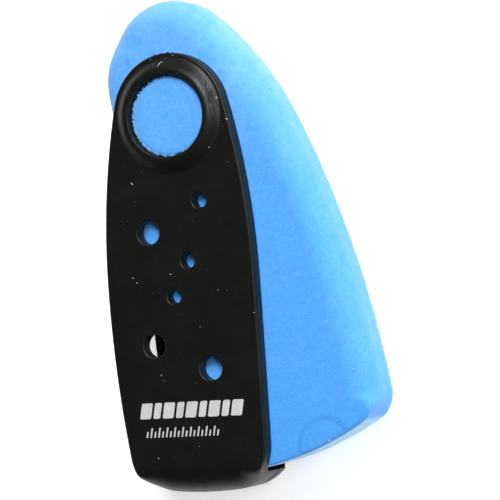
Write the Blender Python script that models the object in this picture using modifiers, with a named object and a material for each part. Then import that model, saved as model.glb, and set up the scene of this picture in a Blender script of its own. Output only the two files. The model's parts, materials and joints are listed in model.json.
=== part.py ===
"""Swivel pencil eraser: a rubber block that turns in a U-shaped plastic holder.

The object lies on its back. +Z is the thickness, +Y runs along the holder to
its narrow nose, and the block swings out of the open side towards +X. Lengths
are in metres. In the holder's own frame the pivot axis is x = y = 0, and the
middle of the thickness is z = 0.
"""
import math

import bmesh
import bpy
from mathutils import Vector

MM = 0.001

# Holder, in plan
NOSE_RADIUS = 10.0 * MM
HALF_WIDTH = 13.15 * MM
WIDEST_AT = 26.0 * MM
RIGHT_TAIL_RADIUS = 4000.0 * MM
LEFT_TAIL_RADIUS = 192.0 * MM
END_RADIUS = 60.0 * MM
RIGHT_CORNER_RADIUS = 7.6 * MM
LEFT_CORNER_RADIUS = 6.5 * MM

# Holder, across its thickness
PLATE_THICKNESS = 2.0 * MM
SLOT_HEIGHT = 12.5 * MM
BODY_THICKNESS = SLOT_HEIGHT + 2 * PLATE_THICKNESS
SLOT_RADIUS = 58.1 * MM
SLOT_FILLET = 2.4 * MM
SIDE_EDGE_RADIUS = 0.45 * MM
END_EDGE_RADIUS = 4.6 * MM
BACK_CORNER_EDGE_RADIUS = 7.0 * MM
EDGE_BLEND_FROM = 0.5
EDGE_BLEND_TO = 0.97

# Collars and bore of the pivot
BORE_RADIUS = 6.6 * MM
BORE_RIM_RADIUS = 0.3 * MM
COLLAR_HEIGHT = 1.2 * MM
COLLAR_CREST_RADIUS = 7.5 * MM
COLLAR_FOOT_RADIUS = 9.2 * MM
COLLAR_ROOT = 1.0 * MM

# Decorative holes: distance below the pivot, offset to the right, radius
DECOR_HOLES = (
    (13.7 * MM, 4.45 * MM, 1.5 * MM),
    (18.2 * MM, -5.0 * MM, 2.2 * MM),
    (23.05 * MM, 1.7 * MM, 1.5 * MM),
    (28.5 * MM, -1.15 * MM, 1.5 * MM),
    (36.2 * MM, -5.3 * MM, 2.2 * MM),
    (40.2 * MM, 4.45 * MM, 2.2 * MM),
)

# Rubber block, in plan, in its own frame with the pivot at the origin
BLOCK_NOSE = Vector((0.2 * MM, 9.3 * MM))
BLOCK_NOSE_RADIUS = 9.85 * MM
BLOCK_SHOULDER_RADIUS = 50.0 * MM
BLOCK_RIGHT = 20.1 * MM
BLOCK_WIDEST_AT = 35.9 * MM
BLOCK_SIDE_RADIUS = 154.0 * MM
BLOCK_CHEEK_RADIUS = 14.8 * MM
BLOCK_CHEEK_ANGLE = math.radians(130)
BLOCK_LEFT_RADIUS = 900.0 * MM
BLOCK_LEFT_ANGLE = math.radians(176.5)
BLOCK_END_RADIUS = 57.05 * MM
BLOCK_CORNER_RADIUS = 6.0 * MM

# Rubber block, across its thickness
FACE_GAP = 0.35 * MM
BLOCK_THICKNESS = SLOT_HEIGHT - 2 * FACE_GAP
BLOCK_EDGE_RADIUS = 4.5 * MM
BLOCK_LEFT_EDGE_RADIUS = 2.5 * MM
BLOCK_END_EDGE_RADIUS = 1.4 * MM
LEFT_BLEND_FROM = 0.7
BLOCK_END_BLEND_FROM = 0.3
BLOCK_END_BLEND_TO = 0.95
BOSS_RADIUS = 6.35 * MM
BOSS_RIM_RADIUS = 0.3 * MM
SWING = math.radians(13.3)

SAGITTA = 0.02 * MM
WELD = 0.005 * MM
TURN_STEPS = 48
HOLE_STEPS = 20
EDGE_STEPS = 5
FILLET_STEPS = 4
RIM_STEPS = 3


def make_collection(name):
    collection = bpy.data.collections.new(name)
    bpy.context.scene.collection.children.link(collection)
    return collection


def make_material(name, colour, roughness):
    material = bpy.data.materials.new(name)
    material.use_nodes = True
    shader = material.node_tree.nodes["Principled BSDF"]
    shader.inputs["Base Color"].default_value = (*colour, 1.0)
    shader.inputs["Roughness"].default_value = roughness
    shader.inputs["Metallic"].default_value = 0.0
    return material


def on_circle(centre, radius, angle):
    return Vector(centre) + radius * Vector((math.cos(angle), math.sin(angle)))


def circles_cross(centre_a, radius_a, centre_b, radius_b, side):
    """The point where two circles cross, left (1) or right (-1) of a to b."""
    line = centre_b - centre_a
    along = (radius_a ** 2 - radius_b ** 2 + line.length_squared) / (2 * line.length)
    across = math.sqrt(radius_a ** 2 - along ** 2)
    ahead = line.normalized()
    left = Vector((-ahead.y, ahead.x))
    return centre_a + along * ahead + side * across * left


def blend(value, low, high):
    """0 up to low, 1 from high on, and smooth in between."""
    share = min(max((value - low) / (high - low), 0.0), 1.0)
    return share * share * (3 - 2 * share)


def tangent_outline(circles, start, end):
    """(point, normal) clockwise round a convex chain of circles that touch in turn."""
    outline = []
    angle = start
    for index, (centre, radius) in enumerate(circles):
        leave = end
        if index + 1 < len(circles):
            other, other_radius = circles[index + 1]
            towards = other - centre if other_radius < radius else centre - other
            leave = math.atan2(towards.y, towards.x)
        while leave > angle:
            leave -= math.tau
        sweep = angle - leave
        steps = max(2, math.ceil(sweep / math.sqrt(8 * SAGITTA / radius)))
        first = 1 if outline else 0
        for step in range(first, steps + 1):
            turn = angle - sweep * step / steps
            outline.append((on_circle(centre, radius, turn), on_circle((0, 0), 1, turn)))
        angle = leave
    return outline


def holder_half(tail_radius, corner_radius):
    """The right half of a holder whose side and corner have these radii."""
    pivot = Vector((0.0, 0.0))
    taper = WIDEST_AT ** 2 / (2 * (HALF_WIDTH - NOSE_RADIUS))
    nose_side_radius = (HALF_WIDTH + NOSE_RADIUS) / 2 + taper
    nose_side = Vector((HALF_WIDTH - nose_side_radius, -WIDEST_AT))
    tail_side = Vector((HALF_WIDTH - tail_radius, -WIDEST_AT))
    corner = circles_cross(
        pivot, END_RADIUS - corner_radius,
        tail_side, tail_radius - corner_radius, 1)
    circles = (
        (pivot, NOSE_RADIUS),
        (nose_side, nose_side_radius),
        (tail_side, tail_radius),
        (corner, corner_radius),
        (pivot, END_RADIUS),
    )
    return tangent_outline(circles, math.pi / 2, -math.pi / 2)


def holder_outline():
    """Clockwise from the top of the nose. The left side curves in more than the right."""
    right = holder_half(RIGHT_TAIL_RADIUS, RIGHT_CORNER_RADIUS)
    left = holder_half(LEFT_TAIL_RADIUS, LEFT_CORNER_RADIUS)
    flip = Vector((-1, 1))
    return right + [(point * flip, normal * flip) for point, normal in reversed(left[1:-1])]


def holder_edge_radius(point, normal, side):
    """Small along the sides, large round the end, and larger still behind its right corner."""
    share = blend(-normal.y, EDGE_BLEND_FROM, EDGE_BLEND_TO)
    radius = SIDE_EDGE_RADIUS + (END_EDGE_RADIUS - SIDE_EDGE_RADIUS) * share
    if side > 0:
        return radius
    corner = blend(-normal.y, 0.02, 0.4) * blend(normal.x, -0.1, 0.5)
    return radius + (BACK_CORNER_EDGE_RADIUS - radius) * corner


def block_outline():
    """The rubber block: nose, right side, end arc about the pivot, left side, cheek."""
    pivot = Vector((0.0, 0.0))
    right_side = Vector((BLOCK_RIGHT - BLOCK_SIDE_RADIUS, -BLOCK_WIDEST_AT))
    shoulder = circles_cross(
        BLOCK_NOSE, BLOCK_SHOULDER_RADIUS - BLOCK_NOSE_RADIUS,
        right_side, BLOCK_SIDE_RADIUS - BLOCK_SHOULDER_RADIUS, 1)
    right_corner = circles_cross(
        pivot, BLOCK_END_RADIUS - BLOCK_CORNER_RADIUS,
        right_side, BLOCK_SIDE_RADIUS - BLOCK_CORNER_RADIUS, 1)
    cheek_reach = BLOCK_NOSE_RADIUS - BLOCK_CHEEK_RADIUS
    cheek = on_circle(BLOCK_NOSE, cheek_reach, BLOCK_CHEEK_ANGLE)
    left_reach = BLOCK_CHEEK_RADIUS - BLOCK_LEFT_RADIUS
    left_side = on_circle(cheek, left_reach, BLOCK_LEFT_ANGLE)
    left_corner = circles_cross(
        pivot, BLOCK_END_RADIUS - BLOCK_CORNER_RADIUS,
        left_side, BLOCK_LEFT_RADIUS - BLOCK_CORNER_RADIUS, -1)
    circles = (
        (BLOCK_NOSE, BLOCK_NOSE_RADIUS),
        (shoulder, BLOCK_SHOULDER_RADIUS),
        (right_side, BLOCK_SIDE_RADIUS),
        (right_corner, BLOCK_CORNER_RADIUS),
        (pivot, BLOCK_END_RADIUS),
        (left_corner, BLOCK_CORNER_RADIUS),
        (left_side, BLOCK_LEFT_RADIUS),
        (cheek, BLOCK_CHEEK_RADIUS),
        (BLOCK_NOSE, BLOCK_NOSE_RADIUS),
    )
    return tangent_outline(circles, math.pi / 2, -3 * math.pi / 2)[:-1]


def block_edge_radius(point, normal, side):
    """Large round the nose and the free side, less on the left, small at the end."""
    left = blend(-normal.x, LEFT_BLEND_FROM, 1.0)
    radius = BLOCK_EDGE_RADIUS + (BLOCK_LEFT_EDGE_RADIUS - BLOCK_EDGE_RADIUS) * left
    end = blend(-normal.y, BLOCK_END_BLEND_FROM, BLOCK_END_BLEND_TO)
    return radius + (BLOCK_END_EDGE_RADIUS - radius) * end


def as_mesh_object(source, collection):
    """Replaces an object and its modifiers with one welded, closed mesh."""
    bpy.context.view_layer.update()
    evaluated = source.evaluated_get(bpy.context.evaluated_depsgraph_get())
    mesh = bpy.data.meshes.new_from_object(evaluated)
    shape = bmesh.new()
    shape.from_mesh(mesh)
    bmesh.ops.remove_doubles(shape, verts=shape.verts, dist=WELD)
    bmesh.ops.dissolve_limit(
        shape, angle_limit=math.radians(0.05), verts=shape.verts, edges=shape.edges)
    bmesh.ops.recalc_face_normals(shape, faces=shape.faces)
    shape.to_mesh(mesh)
    shape.free()
    name = source.name
    matrix = source.matrix_world.copy()
    bpy.data.objects.remove(source)
    result = bpy.data.objects.new(name, mesh)
    result.matrix_world = matrix
    collection.objects.link(result)
    return result


def rounded_slab(name, outline, thickness, edge_radius, collection):
    """A slab of that outline whose edges are rounded by edge_radius(point, normal, side)."""
    shape = bmesh.new()
    turns = [math.pi / 2 * step / EDGE_STEPS for step in range(EDGE_STEPS, -1, -1)]
    rings = []
    for side, turn in [(1, turn) for turn in turns] + [(-1, turn) for turn in reversed(turns)]:
        ring = []
        for point, normal in outline:
            radius = edge_radius(point, normal, side)
            place = point - normal * radius * (1 - math.cos(turn))
            height = thickness / 2 - radius * (1 - math.sin(turn))
            ring.append(shape.verts.new((place.x, place.y, side * height)))
        rings.append(ring)
    for upper, lower in zip(rings, rings[1:]):
        for index in range(len(outline)):
            after = (index + 1) % len(outline)
            shape.faces.new((upper[index], upper[after], lower[after], lower[index]))
    bmesh.ops.triangulate(shape, faces=shape.faces)
    shape.faces.new(rings[0])
    shape.faces.new(rings[-1])
    bmesh.ops.recalc_face_normals(shape, faces=shape.faces)
    mesh = bpy.data.meshes.new(name)
    shape.to_mesh(mesh)
    shape.free()
    slab = bpy.data.objects.new(name, mesh)
    collection.objects.link(slab)
    return slab


def turn_profile(name, profile, collection):
    """Turns (radius, z) points, given from the top down, about the Z axis."""
    mesh = bpy.data.meshes.new(name)
    vertices = [(radius, 0.0, z) for radius, z in profile]
    edges = [(index, index + 1) for index in range(len(vertices) - 1)]
    mesh.from_pydata(vertices, edges, [])
    turned = bpy.data.objects.new(name, mesh)
    collection.objects.link(turned)
    screw = turned.modifiers.new("turn", "SCREW")
    screw.axis = "Z"
    screw.steps = TURN_STEPS
    screw.render_steps = TURN_STEPS
    screw.use_merge_vertices = True
    screw.merge_threshold = WELD
    return as_mesh_object(turned, collection)


def quarter_round(radius, z, size, steps, hollow=False):
    """Profile points from a flat top at z round to an upright side at radius."""
    points = []
    for step in range(steps + 1):
        turn = math.pi / 2 * (1 - step / steps)
        if hollow:
            points.append((radius + size - size * math.cos(turn), z - size + size * math.sin(turn)))
        else:
            points.append((radius - size + size * math.cos(turn), z - size + size * math.sin(turn)))
    return points


def mirrored_down(profile):
    """Completes the upper half of a profile with its reflection in z = 0."""
    return profile + [(radius, -z) for radius, z in reversed(profile)]


def hide_cutter(cutter):
    cutter.hide_render = True
    cutter.display_type = "WIRE"


def combine(target, operation, other):
    boolean = target.modifiers.new(other.name, "BOOLEAN")
    boolean.operation = operation
    boolean.solver = "EXACT"
    boolean.object = other
    hide_cutter(other)


def slot_cutter(collection):
    half = SLOT_HEIGHT / 2
    rim = quarter_round(SLOT_RADIUS, half, SLOT_FILLET, FILLET_STEPS)
    return turn_profile("slot_cutter", mirrored_down([(0.0, half)] + rim), collection)


def collar_blank(name, side, collection):
    """A raised disc on one plate; the bore leaves its rim as the collar."""
    plate_face = BODY_THICKNESS / 2
    crest = plate_face + COLLAR_HEIGHT
    drop = COLLAR_HEIGHT + SAGITTA
    profile = [(0.0, crest)]
    steps = 6
    for step in range(steps + 1):
        share = step / steps
        radius = COLLAR_CREST_RADIUS + (COLLAR_FOOT_RADIUS - COLLAR_CREST_RADIUS) * share
        profile.append((radius, crest - drop * (1 - math.cos(math.pi * share)) / 2))
    profile.append((COLLAR_FOOT_RADIUS, plate_face - COLLAR_ROOT))
    profile.append((0.0, plate_face - COLLAR_ROOT))
    if side < 0:
        profile = [(radius, -z) for radius, z in reversed(profile)]
    return turn_profile(name, profile, collection)


def bore_cutter(collection):
    crest = BODY_THICKNESS / 2 + COLLAR_HEIGHT
    lip = BORE_RADIUS + BORE_RIM_RADIUS
    above = crest + COLLAR_HEIGHT
    flare = quarter_round(BORE_RADIUS, crest, BORE_RIM_RADIUS, RIM_STEPS, hollow=True)
    profile = mirrored_down([(0.0, above), (lip, above)] + flare)
    return turn_profile("bore_cutter", profile, collection)


def hole_cutter(number, below, right, radius, collection):
    bpy.ops.mesh.primitive_cylinder_add(
        vertices=HOLE_STEPS, radius=radius, depth=2 * BODY_THICKNESS, location=(right, -below, 0.0))
    cutter = bpy.context.object
    cutter.name = f"hole_cutter_{number}"
    for old_collection in cutter.users_collection:
        old_collection.objects.unlink(cutter)
    collection.objects.link(cutter)
    return cutter


def make_holder(parts, cutters):
    """The U-shaped moulding: two plates joined by the wall at the wide end."""
    holder = rounded_slab(
        "holder", holder_outline(), BODY_THICKNESS, holder_edge_radius, parts)
    combine(holder, "DIFFERENCE", slot_cutter(cutters))
    combine(holder, "UNION", collar_blank("front_collar_blank", 1, cutters))
    combine(holder, "UNION", collar_blank("back_collar_blank", -1, cutters))
    combine(holder, "DIFFERENCE", bore_cutter(cutters))
    for number, (below, right, radius) in enumerate(DECOR_HOLES, 1):
        combine(holder, "DIFFERENCE", hole_cutter(number, below, right, radius, cutters))
    holder.data.materials.append(make_material("black_plastic", (0.012, 0.012, 0.011), 0.42))
    return holder


def make_eraser_block(parts, cutters):
    """The rubber block with a round boss on each face, in the holder's bores."""
    block = rounded_slab(
        "eraser_block", block_outline(), BLOCK_THICKNESS, block_edge_radius, parts)
    rim = quarter_round(BOSS_RADIUS, BODY_THICKNESS / 2, BOSS_RIM_RADIUS, RIM_STEPS)
    bosses = turn_profile(
        "boss_blank", mirrored_down([(0.0, BODY_THICKNESS / 2)] + rim), cutters)
    combine(block, "UNION", bosses)
    block.data.materials.append(make_material("blue_rubber", (0.10, 0.40, 0.93), 0.85))
    return block, bosses


def make_empty(name, collection):
    empty = bpy.data.objects.new(name, None)
    empty.empty_display_size = 10 * MM
    collection.objects.link(empty)
    return empty


def stand_on_footprint(assembly, pieces):
    """Moves the assembly so that the middle of its underside is the origin."""
    bpy.context.view_layer.update()
    depsgraph = bpy.context.evaluated_depsgraph_get()
    corners = []
    for piece in pieces:
        evaluated = piece.evaluated_get(depsgraph)
        mesh = evaluated.to_mesh()
        corners += [evaluated.matrix_world @ vertex.co for vertex in mesh.vertices]
        evaluated.to_mesh_clear()
    low = Vector([min(corner[axis] for corner in corners) for axis in range(3)])
    high = Vector([max(corner[axis] for corner in corners) for axis in range(3)])
    middle = (low + high) / 2
    assembly.location = (-middle.x, -middle.y, -low.z)
    bpy.context.view_layer.update()


def main():
    for old in list(bpy.data.objects):
        bpy.data.objects.remove(old)
    parts = make_collection("swivel_pencil_eraser")
    cutters = make_collection("cutters")
    assembly = make_empty("assembly", parts)
    pivot = make_empty("swing_pivot", parts)
    pivot.parent = assembly
    holder = make_holder(parts, cutters)
    block, bosses = make_eraser_block(parts, cutters)
    for piece in list(cutters.objects) + [holder]:
        piece.parent = assembly
    for piece in (block, bosses):
        piece.parent = pivot
    pivot.rotation_euler = (0.0, 0.0, SWING)
    for piece in (holder, block):
        piece.data.shade_smooth()
        piece.data.set_sharp_from_angle(angle=math.radians(30))
    stand_on_footprint(assembly, (holder, block))


main()
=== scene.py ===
"""The looks of the swivel pencil eraser: a satin black holder, powdery blue rubber, a printed mark.

Shapes are built in the holder's own frame, with the pivot at the origin and z = 0 in the
middle of the thickness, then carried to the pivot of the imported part. Lengths are in metres.
"""
import math

import bmesh  # noqa: E402
import bpy  # noqa: E402
import numpy as np  # noqa: E402
from mathutils import Matrix, Quaternion, Vector  # noqa: E402
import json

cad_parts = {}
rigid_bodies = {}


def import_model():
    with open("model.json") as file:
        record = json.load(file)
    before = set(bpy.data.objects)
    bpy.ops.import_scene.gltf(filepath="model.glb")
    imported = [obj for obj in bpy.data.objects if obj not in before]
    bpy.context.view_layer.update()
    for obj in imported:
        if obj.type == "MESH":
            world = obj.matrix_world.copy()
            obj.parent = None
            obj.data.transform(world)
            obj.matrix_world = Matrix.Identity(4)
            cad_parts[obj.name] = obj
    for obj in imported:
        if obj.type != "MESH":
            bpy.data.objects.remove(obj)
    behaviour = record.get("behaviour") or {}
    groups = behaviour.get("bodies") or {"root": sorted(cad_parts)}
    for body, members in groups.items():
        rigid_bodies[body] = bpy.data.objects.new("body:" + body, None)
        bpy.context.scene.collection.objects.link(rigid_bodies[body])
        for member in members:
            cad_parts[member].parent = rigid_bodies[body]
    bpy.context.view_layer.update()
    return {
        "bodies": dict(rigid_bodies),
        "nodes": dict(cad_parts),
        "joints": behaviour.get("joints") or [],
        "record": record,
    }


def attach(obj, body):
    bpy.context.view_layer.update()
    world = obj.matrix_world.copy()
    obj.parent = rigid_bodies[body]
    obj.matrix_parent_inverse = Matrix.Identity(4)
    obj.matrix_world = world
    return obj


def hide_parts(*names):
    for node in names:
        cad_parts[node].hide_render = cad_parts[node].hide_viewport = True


MM = 0.001

# Holder. A BLEND is the range over which an edge's rounding changes, given by how far the edge
# faces the closed end, the right or the left: 0 is square to that way and 1 straight along it.
NOSE_RADIUS = 10.0 * MM
HALF_WIDTH = 13.15 * MM
WIDEST_AT = 26.0 * MM
RIGHT_TAIL_RADIUS = 4000.0 * MM
LEFT_TAIL_RADIUS = 192.0 * MM
END_RADIUS = 60.0 * MM
RIGHT_CORNER_RADIUS = 7.6 * MM
LEFT_CORNER_RADIUS = 6.5 * MM
BODY_THICKNESS = 16.5 * MM
SLOT_HEIGHT = 12.5 * MM
SLOT_RADIUS = 58.1 * MM
SLOT_FILLET = 2.4 * MM
SIDE_EDGE_RADIUS = 0.45 * MM
END_EDGE_RADIUS = 4.6 * MM
BACK_CORNER_EDGE_RADIUS = 7.0 * MM
END_EDGE_BLEND = (0.5, 0.97)
BACK_CORNER_END_BLEND = (0.02, 0.4)
BACK_CORNER_RIGHT_BLEND = (-0.1, 0.5)
BORE_RADIUS = 6.6 * MM
BORE_RIM_RADIUS = 0.22 * MM
COLLAR_HEIGHT = 1.2 * MM
COLLAR_CREST_RADIUS = 7.1 * MM
COLLAR_FOOT_RADIUS = 9.6 * MM
COLLAR_ROOT = 1.0 * MM
COLLAR_STEPS = 28
HOLE_FLARE = 0.3 * MM
DECOR_HOLES = (
    (13.7 * MM, 4.45 * MM, 1.2 * MM),
    (18.2 * MM, -5.0 * MM, 1.9 * MM),
    (23.05 * MM, 1.7 * MM, 1.2 * MM),
    (28.5 * MM, -1.15 * MM, 1.2 * MM),
    (36.2 * MM, -5.3 * MM, 1.9 * MM),
    (40.2 * MM, 4.45 * MM, 1.9 * MM),
)

# Rubber block
BLOCK_NOSE = Vector((0.2 * MM, 9.3 * MM))
BLOCK_NOSE_RADIUS = 9.85 * MM
BLOCK_SHOULDER_RADIUS = 50.0 * MM
BLOCK_RIGHT = 20.1 * MM
BLOCK_WIDEST_AT = 35.9 * MM
BLOCK_SIDE_RADIUS = 154.0 * MM
BLOCK_CHEEK_RADIUS = 14.8 * MM
BLOCK_CHEEK_ANGLE = math.radians(130)
BLOCK_LEFT_RADIUS = 900.0 * MM
BLOCK_LEFT_ANGLE = math.radians(176.5)
BLOCK_END_RADIUS = 57.45 * MM
BLOCK_CORNER_RADIUS = 5.0 * MM
BLOCK_THICKNESS = 11.8 * MM
BLOCK_EDGE_RADIUS = 4.5 * MM
BLOCK_LEFT_EDGE_RADIUS = 2.5 * MM
BLOCK_END_EDGE_RADIUS = 0.5 * MM
BLOCK_LEFT_EDGE_BLEND = (0.7, 1.0)
BLOCK_END_EDGE_BLEND = (0.02, 0.70)
BOSS_RADIUS = 6.27 * MM
BOSS_RIM_RADIUS = 0.3 * MM
SWING = math.radians(13.3)
RUBBER_GRID = 0.29 * MM

# The round mark that the mould left near the block's end, in the block's own frame
MOULD_MARK = Vector((9.2 * MM, -57.1 * MM))
MOULD_MARK_RADIUS = 4.45 * MM
MOULD_MARK_WIDTH = 0.42 * MM
MOULD_MARK_DEPTH = 0.07 * MM
MOULD_MARK_FADING = 6 * MM
MOULD_MARK_SEED = 5

# Printed mark. The waver of its edges is in millimetres.
INK_THICKNESS = 0.012 * MM
MARK_LEFT = -8.8 * MM
MARK_FOOT = -47.75 * MM
BAR_LEAN = 0.22
BAR_GAP = 0.42 * MM
BAR_HEIGHT = 2.5 * MM
BAR_COUNT = 9
WIDE_BAR = 1.95 * MM
NARROW_BAR = 1.25 * MM
TICK_COUNT = 19
TICK_PITCH = 0.70 * MM
TICK_INDENT = 0.9 * MM
TICK_WIDTH = 0.27 * MM
TICK_HEIGHT = 1.55 * MM
SHORT_TICK_HEIGHT = 0.62 * TICK_HEIGHT
TICK_FOOT = -50.75 * MM
INK_CORNER_SHARE = 0.3
INK_CORNER = 0.3 * MM
INK_CORNER_STEPS = 5
INK_WAVER = 0.008

# Fineness of the meshes
SAGITTA = 0.004 * MM
WELD = 0.002 * MM
TURN_STEPS = 144
HOLE_STEPS = 56
EDGE_STEPS = 12
RIM_STEPS = 6
BOSS_RIM_STEPS = 8
SLOT_FILLET_STEPS = 10
CUTTER_RISE = 2 * MM
COLLAR_SINK = 4 * SAGITTA
SHARP_ANGLE = math.radians(32)

PLATE_FACE = BODY_THICKNESS / 2
BLOCK_FACE = BLOCK_THICKNESS / 2
COLLAR_CREST = PLATE_FACE + COLLAR_HEIGHT

# Unevenness of the rubber, in layers of (size, wavelength, number of waves, seed)
UNDULATION = (
    (0.030 * MM, 16 * MM, 14, 1),
    (0.012 * MM, 4.5 * MM, 14, 2),
    (0.006 * MM, 1.4 * MM, 24, 3),
    (0.003 * MM, 0.7 * MM, 30, 4),
)
POWDER_CLOUDS = (
    (0.5, 12 * MM, 14, 11),
    (0.4, 4.5 * MM, 14, 12),
    (0.3, 1.8 * MM, 20, 13),
)

# Where powder, dirt and painted light lie on the rubber: the nose, the rims, the left cheek and the
# end face are made paler as painted light, and the part near the end darker as painted shade. A
# TURN is the range over which they set in by how far the surface faces that way, from 0 to 1. A
# ZONE is the same by the distance from the pivot towards the nose, or for the shaded end towards
# the end. POWDER and PAINTED values are shares of cover.
FACE_TURN = (0.62, 0.98)
END_TURN = (0.80, 0.97)
CHEEK_TURN = (0.1, 0.7)
BOSS_HEIGHT = (BLOCK_FACE + 0.2 * MM, BLOCK_FACE + 0.8 * MM)
BOSS_SMOOTHNESS = 0.6
NOSE_ZONE = (-26 * MM, 14 * MM)
CHEEK_ZONE = (-4 * MM, 8 * MM)
SHADED_END_ZONE = (40 * MM, 57 * MM)
END_REFLECTION_DEPTH = (0.1 * MM, 1.2 * MM)
SMUDGED_ZONE = (-25 * MM, 8 * MM)
SMUDGE_PEAKS = (1.35, 2.3)
SMUDGE_PITCH = 3.2 * MM
SMUDGE_SEED = 21
POWDER = 0.20
NOSE_PAINTED_LIGHT = 0.42
POWDER_CLOUDINESS = 0.06
POWDER_CLOUDINESS_NOSE = 0.10
POWDER_BOSS = 0.26
POWDER_OFF_BOSS = 0.75
RIM_PAINTED_LIGHT = 0.16
END_PAINTED_SHADE = 0.22
CHEEK_PAINTED_LIGHT = 0.40
END_FACE_PAINTED_LIGHT = 0.55

# Torn slivers round the boss: angles in degrees, ranges and lean in millimetres, and each
# sliver's (share of its length, share of its thickness)
FRAY_COUNT = 230
FRAY_SIDE = 183
FRAY_SPREAD = 44
FRAY_ALL_ROUND = 0.22
FRAY_ROOT = 0.14 * MM
FRAY_REACH = (0.14, 0.40)
FRAY_OVERHANG = 0.08 * MM
FRAY_DEPTH = (0.02, 0.22)
FRAY_RISE = (0.02, 0.16)
FRAY_LEAN = 0.16
FRAY_THICKNESS = (0.045, 0.10)
FRAY_TAPER = ((0.0, 1.0), (0.35, 0.8), (0.7, 0.5), (1.0, 0.12))
FRAY_SIDES = 6

# Rough crumbs: how lumpy each one is, and its length and width against its size
CRUMB_LUMPS = 0.28
CRUMB_LUMP_PITCH = 1.7
CRUMB_LENGTH = (0.7, 1.5)
CRUMB_WIDTH = (0.6, 1.0)

# Loose crumbs and specks as (x, y, size), burrs as (angle in degrees, size) and the fibre as
# (x, y, radius). Lengths are in millimetres where they have no MM.
CRUMBS = (
    (17.4, -46.9, 0.15), (18.1, -47.5, 0.11), (17.9, -45.9, 0.08), (19.3, -52.6, 0.12),
    (17.7, -53.0, 0.13), (10.1, -56.3, 0.15), (8.9, -56.4, 0.09), (15.2, -38.5, 0.09),
    (12.8, -30.2, 0.08), (6.6, -19.5, 0.07), (14.4, -12.6, 0.09), (15.6, -13.8, 0.06),
    (3.4, 12.4, 0.06), (-4.8, 11.6, 0.07), (16.4, -35.9, 0.08), (8.3, -50.6, 0.07),
)
SPECKS = (
    (-7.3, -10.2, 0.15), (-7.65, -26.0, 0.14), (-8.3, -25.2, 0.08), (-1.5, -25.0, 0.09),
    (6.7, -28.0, 0.08), (8.9, 2.0, 0.13), (10.3, -1.5, 0.11), (12.7, -31.9, 0.10),
    (7.0, -5.6, 0.07), (-8.0, -3.4, 0.07), (-4.4, -40.9, 0.09), (3.1, -33.6, 0.07),
    (9.9, -8.2, 0.06), (-6.0, -54.0, 0.08), (1.5, -52.4, 0.06), (-9.6, -16.0, 0.05),
    (0.3, 9.0, 0.06), (1.6, 9.4, 0.07), (-2.4, 9.2, 0.06),
)
FINE_CRUMB_COUNT = 70
FINE_CRUMB_ALONG = (-54, 14)
FINE_CRUMB_SIZE = (0.03, 0.06)
FINE_SPECK_COUNT = 45
FINE_SPECK_ACROSS = (-11, 11)
FINE_SPECK_ALONG = (-55, 6)
FINE_SPECK_SIZE = (0.018, 0.034)
HOLE_MARGIN = 0.4 * MM
END_BURRS = (
    (-96, 0.20), (-98.5, 0.16), (-88.6, 0.19), (-81.5, 0.14),
    (-101, 0.11), (-86.5, 0.10), (-92.5, 0.09), (-78, 0.10),
)
NOSE_BURRS = ((94, 0.15), (86, 0.18), (81, 0.12), (100, 0.11), (76, 0.10))
FIBRE = (
    (-0.72, 7.75, 0.015), (-0.66, 8.0, 0.035), (-0.52, 8.28, 0.04),
    (-0.32, 8.5, 0.035), (-0.08, 8.58, 0.03), (0.08, 8.5, 0.012),
)
FIBRE_LIFT = 0.05 * MM
TUBE_SIDES = 8
SEAM_FROM = -50 * MM
SEAM_RADIUS = 0.055
SEAM_WAVER = 0.012
SEAM_WAVER_PITCH = 3 * MM
SEAM_INSET = 0.02 * MM
NOSE_BURR_INSET = 0.03 * MM
NOSE_BURR_DEPTH = 0.25 * MM

# Scuffs on the collar, lightened into a painted streaky highlight where its slope faces the light:
# where they set in and end by distance from the pivot, and where they set in towards the right
# and towards the nose
SCUFF_HIGHLIGHT_INNER = (7.0 * MM, 7.7 * MM)
SCUFF_HIGHLIGHT_OUTER = (8.7 * MM, 9.6 * MM)
SCUFF_HIGHLIGHT_RIGHT = (4.5 * MM, 7.0 * MM)
SCUFF_HIGHLIGHT_UPPER = (-1.5 * MM, 1.5 * MM)
SCUFF_HIGHLIGHT_GRAIN = (3600.0, 620.0, 900.0)

# Colours
PLASTIC_BLACK = (0.0056, 0.0062, 0.0050, 1.0)
PLASTIC_RUBBED = (0.0086, 0.0094, 0.0079, 1.0)
PLASTIC_FLECK = (0.020, 0.021, 0.020, 1.0)
PLASTIC_SCUFF_HIGHLIGHT = (0.070, 0.082, 0.092, 1.0)
RUBBER_CLEAR = (0.066, 0.350, 0.900, 1.0)
RUBBER_DUST_AND_LIGHT = (0.165, 0.450, 0.930, 1.0)
# Loose rubber, paler than the block: powder on the crumbs, and painted light on the torn slivers
SCRAP_CLEAR = (0.22, 0.52, 0.90, 1.0)
SCRAP_DUSTED = (0.45, 0.70, 0.94, 1.0)
RUBBER_GROOVE_SHADE = (0.044, 0.250, 0.760, 1.0)
RUBBER_SPECK = (0.36, 0.62, 0.92, 1.0)
RUBBER_PIT = (0.046, 0.255, 0.700, 1.0)
RUBBER_SMUDGE = (0.070, 0.220, 0.430, 1.0)
RUBBER_END_REFLECTION = (0.46, 0.70, 0.93, 1.0)
RUBBER_SHEEN = (0.80, 0.92, 1.0, 1.0)
INK_THIN = (0.06, 0.06, 0.06, 1.0)
INK_DULL = (0.48, 0.48, 0.47, 1.0)
INK_WHITE = (0.68, 0.68, 0.67, 1.0)
DUST_DARK = (0.34, 0.42, 0.48, 1.0)
DUST_PALE = (0.60, 0.66, 0.70, 1.0)
TABLE_DULL = (0.93, 0.93, 0.92, 1.0)
TABLE_WHITE = (0.96, 0.96, 0.955, 1.0)
TABLE_GLOW = (1.0, 1.0, 0.985, 1.0)

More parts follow.
